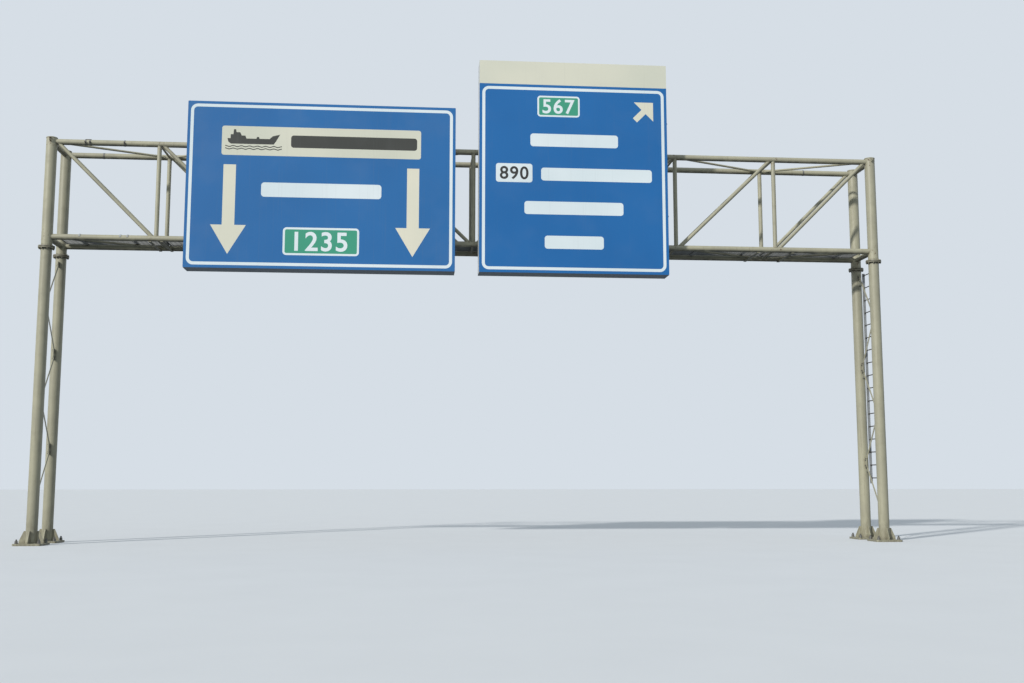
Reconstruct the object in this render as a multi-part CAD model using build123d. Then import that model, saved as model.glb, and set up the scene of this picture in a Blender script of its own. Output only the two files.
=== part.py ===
"""Overhead sign gantry: four round legs carry a box truss of round tubes across a carriageway.

Millimetres. +Z is up, +X runs along the span and -Y is the side that traffic comes from.
The origin lies on the ground, in the middle of the outline.
"""
from build123d import *
from math import atan2, degrees, hypot, sin, tan
import os

# Truss
bay_count = 8
bay_length = 2180.0
truss_depth = 970.0
truss_height = 2000.0
bottom_chord_height = 6220.0
chord_diameter = 121.0
upright_diameter = 88.9
web_diagonal_diameter = 76.1
bracing_diameter = 48.3
bracing_sides = 8
end_strut_diameter = 114.3
weld_gap = 20.0
tie_width = 60.0
tie_thickness = 10.0
tie_overhang = 30.0
left_tie_offset = 120.0
right_tie_offset = 380.0

# Legs and the posts that stand on them
leg_diameter = 219.1
post_diameter = 219.1
flange_diameter = 325.0
flange_thickness = 25.0
flange_drop = 220.0
post_rise = 75.0
cap_diameter = 225.0
cap_thickness = 12.0
lug_reach = 55.0
lug_height = 90.0
lug_bevel = 22.0
lug_thickness = 16.0
lug_hole = 32.0

# Feet
base_side = 560.0
base_thickness = 40.0
base_corner = 30.0
anchor_spacing = 430.0
anchor_hole = 39.0
gusset_count = 4
gusset_reach = 130.0
gusset_height = 240.0
gusset_thickness = 16.0
gusset_nose = 40.0

# Lacing between the front and the back leg of a pair
lacing_bars = 5
lacing_drop = 115.0
left_lacing_foot = 935.0
right_lacing_foot = 610.0
lacing_width = 50.0
lacing_thickness = 8.0
plate_thickness = 12.0
plate_reach = 95.0
plate_height = 270.0
plate_nose = 210.0
bar_setback = 45.0

# Ladder on the right-hand legs
ladder_bottom = 1210.0
ladder_drop = 115.0
ladder_width = 400.0
ladder_offset = 50.0
stile_width = 60.0
stile_thickness = 12.0
rung_diameter = 22.0
rung_sides = 8
rung_pitch = 280.0
first_rung = 120.0
ladder_bracket_width = 60.0
ladder_bracket_thickness = 10.0
ladder_bracket_count = 3
ladder_bracket_inset = 250.0

# Walkway between the chords, over the bottom bracing
walkway_width = 760.0
walkway_end_gap = 10.0
bearer_places = (0.25, 0.75)
bearer_width = 60.0
bearer_height = 20.0
brace_clearance = 1.0
grating_height = 30.0
grating_bar = 5.0
grating_rim = 8.0
grating_slots = 12
panel_gap = 10.0

# Signs
sign_bottom = 5520.0
sign_depth = 450.0
sign_sheet = 4.0
face_thickness = 6.0
face_corner = 20.0
fit_gap = 0.3
left_sign_middle = -3135.0
left_sign_width = 5460.0
left_sign_height = 3460.0
left_rail_count = 4
right_sign_middle = 2075.0
right_sign_width = 3970.0
right_sign_height = 4020.0
right_rail_count = 3
cap_panel_height = 500.0
rail_depth = 85.0
rail_width = 90.0
rail_wall = 7.0
rail_overhang = 190.0
rail_edge = 620.0
saddle_length = 160.0
saddle_height = 190.0
saddle_wrap = 15.0
saddle_seat = 15.0

# Places that follow from the sizes
chord_radius = chord_diameter / 2
leg_radius = leg_diameter / 2
post_radius = post_diameter / 2
top_chord_height = bottom_chord_height + truss_height
span = bay_count * bay_length
saddle_front = chord_radius + saddle_seat
sign_back = saddle_front + rail_depth
sign_reach = sign_back + sign_depth
front_y = (sign_reach - truss_depth - base_side / 2) / 2
back_y = front_y + truss_depth
middle_y = (front_y + back_y) / 2
joint_height = bottom_chord_height - flange_drop
flange_bottom = joint_height - flange_thickness
flange_top = joint_height + flange_thickness
node_x = [bay_length * (i - bay_count / 2) for i in range(bay_count + 1)]
left_x, right_x = node_x[0], node_x[-1]
sides = {"front": front_y, "back": back_y}
ends = {"left": left_x, "right": right_x}
levels = {"bottom": bottom_chord_height, "top": top_chord_height}

on_base = (Align.CENTER, Align.CENTER, Align.MIN)
nodes = {}


def keep(name, *pieces):
    """Put solids under a name; each name becomes one file."""
    nodes.setdefault(name, []).extend(pieces)


def tube(start, end, diameter):
    """A round member between two points of its axis."""
    start, end = Vector(*start), Vector(*end)
    place = Plane(origin=start, z_dir=end - start)
    return place * Cylinder(diameter / 2, (end - start).length, align=on_base)


def rod(start, end, diameter, sides):
    """A straight bar with a regular cross-section of a few sides, measured over its corners."""
    start, end = Vector(*start), Vector(*end)
    section = Plane(origin=start, z_dir=end - start) * RegularPolygon(diameter / 2, sides)
    return extrude(section, (end - start).length)


def block(x, y, z, length, depth, height):
    """A box from its middle in plan and its underside."""
    return Pos(x, y, z) * Box(length, depth, height, align=on_base)


def plate(outline, thickness, plane):
    """A flat plate with the given outline, centred on its plane."""
    face = plane * make_face(Polyline(*outline, close=True))
    return extrude(face, amount=thickness / 2, both=True)


def foot_shift(rise, run, member, neighbour, seat):
    """How far a sloping member's end moves along the seat tube to clear its neighbour's foot."""
    slope = atan2(rise, run)
    foot = member / 2 / sin(slope)
    reach = seat / 2 / tan(slope)
    return max(0.0, neighbour / 2 + weld_gap + foot - reach)


# Chords, posts and legs as round bars of full length, which the others are cut to fit
chords = {
    (side, level): tube((left_x, y, z), (right_x, y, z), chord_diameter)
    for side, y in sides.items()
    for level, z in levels.items()
}
posts = {
    (end, side): tube((x, y, flange_top), (x, y, top_chord_height + post_rise), post_diameter)
    for end, x in ends.items()
    for side, y in sides.items()
}
for (side, level), chord in chords.items():
    keep(f"chord_{side}_{level}", chord - posts["left", side] - posts["right", side])

for (end, side), post in posts.items():
    x, y = ends[end], sides[side]
    keep(f"post_{end}_{side}", post)
    keep(f"column_{end}_{side}", tube((x, y, base_thickness), (x, y, flange_bottom), leg_diameter))
    keep("column_flanges", tube((x, y, flange_bottom), (x, y, joint_height), flange_diameter))
    keep("post_flanges", tube((x, y, joint_height), (x, y, flange_top), flange_diameter))
    cap_bottom = top_chord_height + post_rise
    keep("post_caps", tube((x, y, cap_bottom), (x, y, cap_bottom + cap_thickness), cap_diameter))

    # A lug stands out from each post on the outer side of the truss, just below the cap
    outward = -1 if side == "front" else 1
    tip = post_radius + lug_reach
    outline = [
        (0, 0),
        (tip - lug_bevel, 0),
        (tip, -lug_bevel),
        (tip, lug_bevel - lug_height),
        (tip - lug_bevel, -lug_height),
        (0, -lug_height),
    ]
    lug_plane = Plane((x, y, cap_bottom), (0, outward, 0), (outward, 0, 0))
    eye = Pos(tip - lug_reach / 2, -lug_height / 2) * Cylinder(lug_hole / 2, lug_thickness)
    keep("lifting_lugs", plate(outline, lug_thickness, lug_plane) - lug_plane * eye - post)

# Feet: a square plate with four anchor holes, and a gusset against the leg on each of its sides
foot_plate = extrude(chamfer(Rectangle(base_side, base_side).vertices(), base_corner), base_thickness)
anchor_drill = Cylinder(anchor_hole / 2, 2 * base_thickness)
foot_plate -= GridLocations(anchor_spacing, anchor_spacing, 2, 2) * anchor_drill
gusset_outline = [
    (0, 0),
    (leg_radius + gusset_reach, 0),
    (leg_radius + gusset_reach, gusset_nose),
    (leg_radius + gusset_nose, gusset_height),
    (0, gusset_height),
]
for (end, side) in posts:
    x, y = ends[end], sides[side]
    keep("base_plates", Pos(x, y, 0) * foot_plate)
    leg = tube((x, y, base_thickness), (x, y, joint_height), leg_diameter)
    for i in range(gusset_count):
        turn = Rot(0, 0, i * 360 / gusset_count)
        gusset = plate(gusset_outline, gusset_thickness, Plane.XZ)
        keep("base_gussets", Pos(x, y, base_thickness) * turn * gusset - leg)


def web_shift(neighbour):
    """How far a diagonal's end moves along its chord to clear its neighbour's foot."""
    return foot_shift(truss_height, bay_length, web_diagonal_diameter, neighbour, chord_diameter)


# Uprights and diagonals of the front and back faces
for side, y in sides.items():
    for x in node_x[1:-1]:
        upright = tube((x, y, bottom_chord_height), (x, y, top_chord_height), upright_diameter)
        keep(f"{side}_uprights", upright - chords[side, "bottom"] - chords[side, "top"])
    for bay in range(bay_count):
        falls_right = bay < bay_count / 2
        inward = 1 if falls_right else -1
        high = bay if falls_right else bay + 1
        low = bay + 1 if falls_right else bay
        at_post = high in (0, bay_count)
        high_neighbour = post_diameter if at_post else upright_diameter
        diagonal = tube(
            (node_x[high] + inward * web_shift(high_neighbour), y, top_chord_height),
            (node_x[low] - inward * web_shift(upright_diameter), y, bottom_chord_height),
            web_diagonal_diameter,
        )
        keep(f"{side}_diagonals", diagonal - chords[side, "bottom"] - chords[side, "top"])

# Struts and zigzag bracing of the top and bottom faces, cut flat where they meet the chords
front_seat, back_seat = front_y + chord_radius, back_y - chord_radius
for level, z in levels.items():
    for end, x in ends.items():
        strut = tube((x, front_y, z), (x, back_y, z), end_strut_diameter)
        keep("end_struts", strut - posts[end, "front"] - posts[end, "back"])
    for x in node_x[1:-1]:
        keep(f"{level}_struts", rod((x, front_seat, z), (x, back_seat, z), bracing_diameter, bracing_sides))
    seat_distance = back_seat - front_seat
    between_chords = block(0, middle_y, z - chord_radius, span, seat_distance, chord_diameter)
    for bay in range(bay_count):
        starts, finishes = (front_y, back_y) if bay % 2 == 0 else (back_y, front_y)
        shifts = [
            foot_shift(
                truss_depth,
                bay_length,
                bracing_diameter,
                post_diameter if node in (0, bay_count) else bracing_diameter,
                chord_diameter,
            )
            for node in (bay, bay + 1)
        ]
        brace = rod(
            (node_x[bay] + shifts[0], starts, z),
            (node_x[bay + 1] - shifts[1], finishes, z),
            bracing_diameter,
            bracing_sides,
        )
        keep(f"{level}_bracing", brace & between_chords)

# Flat ties under the bottom chords, one on each side of the first and the last inner node
for node, offset in ((1, left_tie_offset), (bay_count - 1, right_tie_offset)):
    for hand in (-1, 1):
        x = node_x[node] + hand * offset
        tie_bottom = bottom_chord_height - chord_radius - tie_thickness
        tie_length = truss_depth + 2 * tie_overhang
        keep("bottom_ties", block(x, middle_y, tie_bottom, tie_width, tie_length, tie_thickness))

# Lacing: flat bars that lap on plates welded to the inner side of each leg
lacing_top = flange_bottom - lacing_drop
for end, x in ends.items():
    foot = left_lacing_foot if end == "left" else right_lacing_foot
    rise = (lacing_top - foot) / lacing_bars
    seats = [(back_y - leg_radius, -1), (front_y + leg_radius, 1)]
    points = [(*seats[i % 2], lacing_top - i * rise) for i in range(lacing_bars + 1)]
    for i, (y, inward, z) in enumerate(points):
        above = 0 if i == 0 else 1
        below = 0 if i == lacing_bars else 1
        root, tip = y - inward * leg_radius, y + inward * plate_reach
        outline = [
            (root, z - below * plate_height / 2),
            (tip, z - below * plate_nose / 2),
            (tip, z + above * plate_nose / 2),
            (root, z + above * plate_height / 2),
        ]
        leg = tube((x, root, base_thickness), (x, root, joint_height), leg_diameter)
        keep("lacing_plates", plate(outline, plate_thickness, Plane((x, 0, 0), (0, 1, 0), (1, 0, 0))) - leg)
    for (y0, _, z0), (y1, _, z1) in zip(points, points[1:]):
        length = hypot(y1 - y0, z1 - z0) - 2 * bar_setback
        lean = degrees(atan2(z1 - z0, y1 - y0))
        side_step = (plate_thickness + lacing_thickness) / 2
        bar = Rot(lean, 0, 0) * Box(lacing_thickness, length, lacing_width)
        keep("leg_lacing", Pos(x + side_step, (y0 + y1) / 2, (z0 + z1) / 2) * bar)

# Ladder
ladder_x = right_x + ladder_offset
ladder_top = flange_bottom - ladder_drop
ladder_height = ladder_top - ladder_bottom
bracket_step = (ladder_height - 2 * ladder_bracket_inset) / (ladder_bracket_count - 1)
for hand in (-1, 1):
    stile_y = middle_y + hand * (ladder_width + stile_thickness) / 2
    stile = block(ladder_x, stile_y, ladder_bottom, stile_width, stile_thickness, ladder_height)
    keep("ladder_stiles", stile)
    leg_y = front_y if hand < 0 else back_y
    leg = tube((right_x, leg_y, base_thickness), (right_x, leg_y, joint_height), leg_diameter)
    outer = middle_y + hand * (ladder_width / 2 + stile_thickness)
    for i in range(ladder_bracket_count):
        z = ladder_bottom + ladder_bracket_inset + i * bracket_step
        bracket = block(
            ladder_x,
            (outer + leg_y) / 2,
            z,
            ladder_bracket_width,
            abs(leg_y - outer),
            ladder_bracket_thickness,
        )
        keep("ladder_brackets", bracket - leg)
rung_count = int((ladder_height - first_rung) / rung_pitch) + 1
for i in range(rung_count):
    z = ladder_bottom + first_rung + i * rung_pitch
    inner = ladder_width / 2
    rung = rod((ladder_x, middle_y - inner, z), (ladder_x, middle_y + inner, z), rung_diameter, rung_sides)
    keep("ladder_rungs", rung)

# Walkway: bearers across the chords, over the bracing, carry one grating panel a bay
bearer_bottom = bottom_chord_height + bracing_diameter / 2 + brace_clearance
for bay in range(bay_count):
    for place in bearer_places:
        x = node_x[bay] + place * bay_length
        bearer = block(x, middle_y, bearer_bottom, bearer_width, truss_depth, bearer_height)
        keep("walkway_bearers", bearer - chords["front", "bottom"] - chords["back", "bottom"])

deck_bottom = bearer_bottom + bearer_height
panel_pitch = (span - 2 * (post_radius + walkway_end_gap)) / bay_count
panel_length = panel_pitch - panel_gap
slot_pitch = (walkway_width - 2 * grating_rim + grating_bar) / grating_slots
slots = GridLocations(0, slot_pitch, 1, grating_slots)
grating = Rectangle(panel_length, walkway_width)
grating -= slots * Rectangle(panel_length - 2 * grating_rim, slot_pitch - grating_bar)
grating = extrude(grating, grating_height)
for bay in range(bay_count):
    keep("walkway_grating", Pos((bay - (bay_count - 1) / 2) * panel_pitch, middle_y, deck_bottom) * grating)

# Signs: boxes of folded sheet with a back and a face, on rails that saddles hold to the chords
signs = {
    "left_sign": (left_sign_middle, sign_bottom, left_sign_width, left_sign_height),
    "right_sign": (right_sign_middle, sign_bottom, right_sign_width, right_sign_height),
    "right_cap": (right_sign_middle, sign_bottom + right_sign_height, right_sign_width, cap_panel_height),
}
rail_counts = {"left_sign": left_rail_count, "right_sign": right_rail_count}
sign_back_y = front_y - sign_back
side_depth = sign_depth - sign_sheet - face_thickness
side_y = sign_back_y - sign_sheet - side_depth / 2
for name, (middle, bottom, width, height) in signs.items():
    keep("sign_backs", block(middle, sign_back_y - sign_sheet / 2, bottom, width, sign_sheet, height))
    for z in (bottom, bottom + height - sign_sheet):
        keep(f"{name}_sides", block(middle, side_y, z, width, side_depth, sign_sheet))
    for hand in (-1, 1):
        x = middle + hand * (width - sign_sheet) / 2
        side_height = height - 2 * (sign_sheet + fit_gap)
        wall = block(x, side_y, bottom + sign_sheet + fit_gap, sign_sheet, side_depth, side_height)
        keep(f"{name}_sides", wall)
    face_plane = Plane(
        (middle, front_y - sign_reach + face_thickness, bottom + height / 2), (1, 0, 0), (0, -1, 0)
    )
    keep(f"{name}_face", extrude(face_plane * RectangleRounded(width, height, face_corner), face_thickness))

rail_y = front_y - saddle_front - rail_depth / 2
rail_bottom = bottom_chord_height - rail_overhang
rail_height = truss_height + 2 * rail_overhang
rail = block(0, 0, 0, rail_width, rail_depth, rail_height)
rail -= block(0, rail_wall, 0, rail_width - 2 * rail_wall, rail_depth, rail_height)
for name, rail_count in rail_counts.items():
    middle, bottom, width, height = signs[name]
    pitch = (width - 2 * rail_edge) / (rail_count - 1)
    for i in range(rail_count):
        x = middle - width / 2 + rail_edge + i * pitch
        keep(f"{name}_rails", Pos(x, rail_y, rail_bottom) * rail)
        for level, z in levels.items():
            saddle = block(
                x,
                front_y - saddle_front + (saddle_seat + saddle_wrap) / 2,
                z - saddle_height / 2,
                saddle_length,
                saddle_seat + saddle_wrap,
                saddle_height,
            )
            keep("sign_saddles", saddle - chords["front", level])

os.makedirs("parts", exist_ok=True)
for name, pieces in nodes.items():
    export_step(Compound(label=name, children=pieces), f"parts/{name}.step")
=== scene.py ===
"""Looks of the overhead sign gantry.

Metres. +Z is up, +X runs along the span and -Y is the side that traffic comes from.
"""
from math import atan2, cos, pi, radians, sin, sqrt, tan

import bpy
from mathutils import Matrix, Vector


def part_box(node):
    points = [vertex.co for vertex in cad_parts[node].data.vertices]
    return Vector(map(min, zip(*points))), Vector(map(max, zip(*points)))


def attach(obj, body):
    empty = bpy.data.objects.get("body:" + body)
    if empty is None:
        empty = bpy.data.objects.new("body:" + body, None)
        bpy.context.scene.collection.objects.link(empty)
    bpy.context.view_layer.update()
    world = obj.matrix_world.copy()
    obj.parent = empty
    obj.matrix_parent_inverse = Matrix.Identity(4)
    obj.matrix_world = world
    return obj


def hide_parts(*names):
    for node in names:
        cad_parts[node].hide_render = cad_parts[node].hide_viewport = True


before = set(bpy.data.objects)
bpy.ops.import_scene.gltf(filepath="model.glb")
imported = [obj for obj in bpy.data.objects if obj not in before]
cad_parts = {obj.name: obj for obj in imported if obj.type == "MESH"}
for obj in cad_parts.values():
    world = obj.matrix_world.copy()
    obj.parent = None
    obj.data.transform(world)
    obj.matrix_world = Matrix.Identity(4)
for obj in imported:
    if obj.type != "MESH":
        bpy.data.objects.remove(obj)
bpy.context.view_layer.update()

# Material slots of the record
PAINT_SLOT = "frame_paint"
ZINC_SLOT = "galvanised"
FACE_SLOT = "sign_face"
CASING_SLOT = "sign_casing"

# Camera, fitted to the photograph's view
IMAGE_WIDTH = 1024
FOCAL_PIXELS = 1124.914
SENSOR_WIDTH = 36.0
CAMERA_PLACE = (-1.2164, -23.6246, 1.2526)
CAMERA_PITCH = 7.093
CAMERA_YAW = 5.004
CLIP_END = 500.0


def srgb(red, green, blue):
    """A colour from 0 to 255 as the shader's linear values."""
    def linear(value):
        value /= 255
        return value / 12.92 if value <= 0.04045 else ((value + 0.055) / 1.055) ** 2.4
    return (linear(red), linear(green), linear(blue), 1.0)


# Places read from the frame
def middle(node):
    low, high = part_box(node)
    return (low + high) / 2


chord_radius = (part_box("chord_front_bottom")[1].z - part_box("chord_front_bottom")[0].z) / 2
front_y = middle("chord_front_bottom").y
back_y = middle("chord_back_bottom").y
chord_z = {"bottom": middle("chord_front_bottom").z, "top": middle("chord_front_top").z}
side_y = {"front": front_y, "back": back_y}
leg_x = {"left": middle("column_left_front").x, "right": middle("column_right_front").x}
leg_radius = (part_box("column_left_front")[1].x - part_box("column_left_front")[0].x) / 2
leg_places = [(x, y) for x in leg_x.values() for y in side_y.values()]
bay_count = 8
bay = (leg_x["right"] - leg_x["left"]) / bay_count
node_x = [leg_x["left"] + bay * i for i in range(bay_count + 1)]
joint_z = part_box("column_flanges")[1].z
flange_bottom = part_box("column_flanges")[0].z
flange_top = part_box("post_flanges")[1].z
base_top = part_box("base_plates")[1].z

# Rays of the nodes that find corners and edges
LOOK_SAMPLES = 4


class Finish:
    """A node material under construction: most calls add a node and return its output."""

    def __init__(self, name):
        self.material = bpy.data.materials.new(name)
        self.material.use_nodes = True
        self.tree = self.material.node_tree
        self.shader = self.tree.nodes["Principled BSDF"]
        self.place = self.add("ShaderNodeTexCoord").outputs["Object"]

    def add(self, kind, sockets=None, **settings):
        node = self.tree.nodes.new(kind)
        for name, value in settings.items():
            setattr(node, name, value)
        for key, value in (sockets or {}).items():
            self.put(node.inputs[key], value)
        return node

    def put(self, socket, value):
        if isinstance(value, bpy.types.NodeSocket):
            self.tree.links.new(value, socket)
        else:
            socket.default_value = value

    def stretched(self, factors):
        """Object coordinates scaled by a factor along each axis."""
        scaled = self.add("ShaderNodeVectorMath", {0: self.place, 1: factors}, operation="MULTIPLY")
        return scaled.outputs[0]

    def noise(self, scale, stretch=None, detail=4.0, roughness=0.55):
        place = self.stretched(stretch) if stretch else self.place
        sockets = {"Vector": place, "Scale": scale, "Detail": detail, "Roughness": roughness}
        return self.add("ShaderNodeTexNoise", sockets).outputs["Fac"]

    def cells(self, scale, output="Color"):
        return self.add("ShaderNodeTexVoronoi", {"Vector": self.place, "Scale": scale}).outputs[output]

    def axes(self, vector):
        return self.add("ShaderNodeSeparateXYZ", {0: vector}).outputs

    def facing(self):
        """The surface's direction, split into X, Y and Z."""
        return self.axes(self.add("ShaderNodeNewGeometry").outputs["Normal"])

    def math(self, operation, *values):
        return self.add("ShaderNodeMath", dict(enumerate(values)), operation=operation).outputs[0]

    def times(self, first, second):
        return self.math("MULTIPLY", first, second)

    def most(self, first, *others):
        """The highest of several values."""
        for other in others:
            first = self.math("MAXIMUM", first, other)
        return first

    def away(self, value, level):
        """How far a value lies from a level."""
        return self.math("ABSOLUTE", self.math("SUBTRACT", value, level))

    def ramp(self, value, low, high, start=0.0, end=1.0):
        """A smooth step from start at low to end at high."""
        sockets = {"Value": value, "From Min": low, "From Max": high, "To Min": start, "To Max": end}
        return self.add("ShaderNodeMapRange", sockets, interpolation_type="SMOOTHSTEP").outputs["Result"]

    def blend(self, factor, first, second):
        sockets = {0: factor, 6: first, 7: second}
        return self.add("ShaderNodeMix", sockets, data_type="RGBA").outputs[2]

    def stain(self, mask, *tone):
        """Lays a colour over the one so far, as far as the mask goes."""
        self.colour = self.blend(mask, self.colour, srgb(*tone))

    def bump(self, height, distance, normal=None, strength=1.0):
        sockets = {"Height": height, "Distance": distance, "Strength": strength}
        if normal:
            sockets["Normal"] = normal
        return self.add("ShaderNodeBump", sockets).outputs["Normal"]

    def crevice(self, reach):
        """1 in corners that are closed in within the reach, 0 on open surfaces."""
        openness = self.add("ShaderNodeAmbientOcclusion", {"Distance": reach}, samples=LOOK_SAMPLES)
        return self.ramp(openness.outputs["AO"], 0.85, 0.35)

    def worn_edges(self, reach):
        """1 along sharp edges, 0 on flat and gently curved surfaces."""
        rounded_way = self.add("ShaderNodeBevel", {"Radius": reach}, samples=LOOK_SAMPLES).outputs["Normal"]
        true_way = self.add("ShaderNodeNewGeometry").outputs["Normal"]
        turn = self.add("ShaderNodeVectorMath", {0: rounded_way, 1: true_way}, operation="DOT_PRODUCT")
        return self.ramp(turn.outputs["Value"], 0.99, 0.88)

    def finish(self, roughness, normal=None, **constants):
        self.put(self.shader.inputs["Base Color"], self.colour)
        self.put(self.shader.inputs["Roughness"], roughness)
        if normal:
            self.put(self.shader.inputs["Normal"], normal)
        for name, value in constants.items():
            self.shader.inputs[name.replace("_", " ")].default_value = value
        return self.material


def weathered_paint():
    """Ivory paint on steel: chalky patches, rain streaks, grime and painted shade below and in corners,
    dirt and painted shade round the flanges, rust at joints.
    """
    f = Finish("weathered_paint")
    x, _, z = f.axes(f.place)
    up = f.facing()[2]
    patches = f.ramp(f.noise(1.1, detail=3.0), 0.35, 0.65)
    f.colour = f.blend(patches, srgb(174, 172, 149), srgb(163, 161, 141))
    cloud = f.ramp(f.noise(5.5), 0.45, 0.75, end=0.35)
    f.stain(cloud, 144, 142, 122)

    streaks = f.ramp(f.noise(1.0, stretch=(26.0, 26.0, 1.1), detail=5.0), 0.54, 0.76, end=0.42)
    f.stain(streaks, 124, 118, 98)
    # Painted shade on downward faces: darker and bluish underneath, broken up by noise as grime
    below = f.ramp(up, -0.25, -0.9, end=0.7)
    f.stain(f.times(below, f.ramp(f.noise(7.0), 0.25, 0.6)), 66, 70, 72)
    above = f.ramp(up, 0.55, 0.98, end=0.5)
    f.stain(f.times(above, f.ramp(f.noise(9.0), 0.35, 0.7)), 128, 127, 105)
    splash = f.ramp(z, 0.9, 0.0, end=0.5)
    splash = f.times(splash, f.ramp(f.noise(6.0, stretch=(3.0, 3.0, 1.0)), 0.3, 0.65))
    f.stain(splash, 108, 101, 84)

    along = f.math("PINGPONG", f.math("SUBTRACT", x, node_x[0]), bay / 2)
    near_node = f.ramp(along, 0.30, 0.05)
    chord_masks = [f.ramp(f.away(z, level), 0.24, 0.07) for level in chord_z.values()]
    near_joint = f.times(near_node, f.most(*chord_masks))
    flange_gap = f.away(z, joint_z)
    near_flange = f.ramp(flange_gap, 0.07, 0.025)
    corners = f.crevice(0.08)
    edges = f.worn_edges(0.006)
    exposed = f.most(near_joint, near_flange, corners, edges)
    rust_noise = f.noise(16.0, detail=8.0, roughness=0.68)
    threshold = f.ramp(exposed, 0.0, 1.0, start=0.77, end=0.60)
    over = f.math("SUBTRACT", rust_noise, threshold)
    rust = f.ramp(over, 0.0, 0.05)
    halo = f.ramp(over, -0.09, 0.02, end=0.45)
    f.stain(f.times(halo, f.ramp(exposed, 0.0, 0.7, start=0.2)), 128, 112, 88)
    rust_colour = f.blend(f.noise(60.0), srgb(58, 45, 36), srgb(104, 78, 56))
    f.colour = f.blend(rust, f.colour, rust_colour)
    # Darker band round the flange joints: dirt and painted shade
    f.stain(f.times(near_flange, 0.3), 92, 89, 78)
    # Painted shade in closed-in corners, mixed with grime
    f.stain(f.times(corners, 0.5), 70, 66, 57)
    # Dark seam at the flange joint, drawn wider than the gap as painted shade
    f.stain(f.ramp(flange_gap, 0.014, 0.003, end=0.9), 44, 38, 32)

    roughness = f.ramp(f.most(rust, streaks, cloud), 0.0, 1.0, start=0.46, end=0.88)
    peel = f.bump(f.noise(170.0, detail=2.0), 0.0004)
    scale = f.bump(f.times(rust, f.noise(95.0, detail=6.0)), 0.0022, normal=peel)
    return f.finish(roughness, scale)


def galvanised_steel():
    """Hot-dip zinc: a spangle of grey flakes, dull patches, a little white bloom, worn edges and painted
    shade in corners.
    """
    f = Finish("galvanised_steel")
    flake = f.add("ShaderNodeRGBToBW", {0: f.cells(70.0)}).outputs[0]
    f.colour = f.blend(flake, srgb(138, 142, 144), srgb(166, 170, 172))
    dull = f.ramp(f.noise(3.5), 0.4, 0.7, end=0.6)
    f.stain(dull, 126, 129, 128)
    bloom = f.ramp(f.noise(22.0, detail=7.0), 0.60, 0.74, end=0.5)
    f.stain(bloom, 176, 178, 176)
    f.stain(f.times(f.worn_edges(0.004), 0.5), 94, 93, 88)
    # Painted shade in closed-in corners
    f.stain(f.crevice(0.05), 70, 68, 62)
    roughness = f.math("ADD", f.ramp(flake, 0.0, 1.0, start=0.38, end=0.54), f.times(dull, 0.3))
    return f.finish(roughness, f.bump(flake, 0.0004, strength=0.5), Metallic=0.3)


def zinc_fastener():
    """Bolts and nuts: duller zinc with brown stains where the plating has gone."""
    f = Finish("zinc_fastener")
    f.colour = f.blend(f.noise(45.0), srgb(100, 100, 97), srgb(140, 140, 136))
    rust_noise = f.noise(38.0, detail=7.0, roughness=0.65)
    rust = f.ramp(rust_noise, 0.54, 0.66, end=0.8)
    f.colour = f.blend(rust, f.colour, f.blend(f.noise(90.0), srgb(62, 46, 35), srgb(112, 84, 60)))
    roughness = f.ramp(rust, 0.0, 1.0, start=0.45, end=0.9)
    return f.finish(roughness, f.bump(rust_noise, 0.0008), Metallic=0.4)


def dark_steel():
    """Old rungs: grey-brown steel, polished lighter where feet wear it."""
    f = Finish("dark_steel")
    f.colour = f.blend(f.noise(30.0, detail=6.0), srgb(66, 64, 59), srgb(94, 90, 82))
    wear = f.ramp(f.facing()[2], 0.55, 0.95, end=0.5)
    f.stain(f.times(wear, f.ramp(f.noise(14.0), 0.35, 0.65)), 132, 131, 126)
    rust = f.ramp(f.noise(21.0, detail=7.0), 0.58, 0.68, end=0.7)
    f.stain(rust, 78, 58, 43)
    roughness = f.ramp(wear, 0.0, 0.5, start=0.75, end=0.45)
    return f.finish(roughness, f.bump(f.noise(120.0), 0.0005), Metallic=0.3)


def sheeting(name, tone, dirt=0.5):
    """Retroreflective film: a fine honeycomb under a clear face, a soft haze and thin rain streaks."""
    f = Finish(name)
    cell = f.cells(210.0, "Distance")
    red, green, blue, _ = tone
    light = (red * 1.05 + 0.002, green * 1.04 + 0.002, blue * 1.04 + 0.002, 1.0)
    dark = (red * 0.93, green * 0.95, blue * 0.96, 1.0)
    f.colour = f.blend(f.ramp(f.noise(0.6, detail=2.0), 0.3, 0.7), dark, light)
    f.colour = f.blend(f.ramp(cell, 0.0, 0.6, end=0.14), f.colour, dark)
    streaks = f.ramp(f.noise(1.0, stretch=(34.0, 34.0, 0.45), detail=4.0), 0.55, 0.80, end=0.16 * dirt)
    f.stain(streaks, 116, 119, 117)
    haze = f.ramp(f.noise(1.6, detail=2.0), 0.45, 0.75, end=0.07 * dirt)
    f.stain(haze, 160, 164, 166)
    specks = f.ramp(f.noise(55.0, detail=3.0), 0.74, 0.80, end=0.45 * dirt)
    f.stain(specks, 70, 66, 58)
    roughness = f.ramp(f.math("ADD", haze, streaks), 0.0, 0.3, start=0.34, end=0.55)
    normal = f.bump(cell, 0.00015, strength=0.4)
    return f.finish(roughness, normal, Coat_Weight=0.2, Coat_Roughness=0.2)


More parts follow.
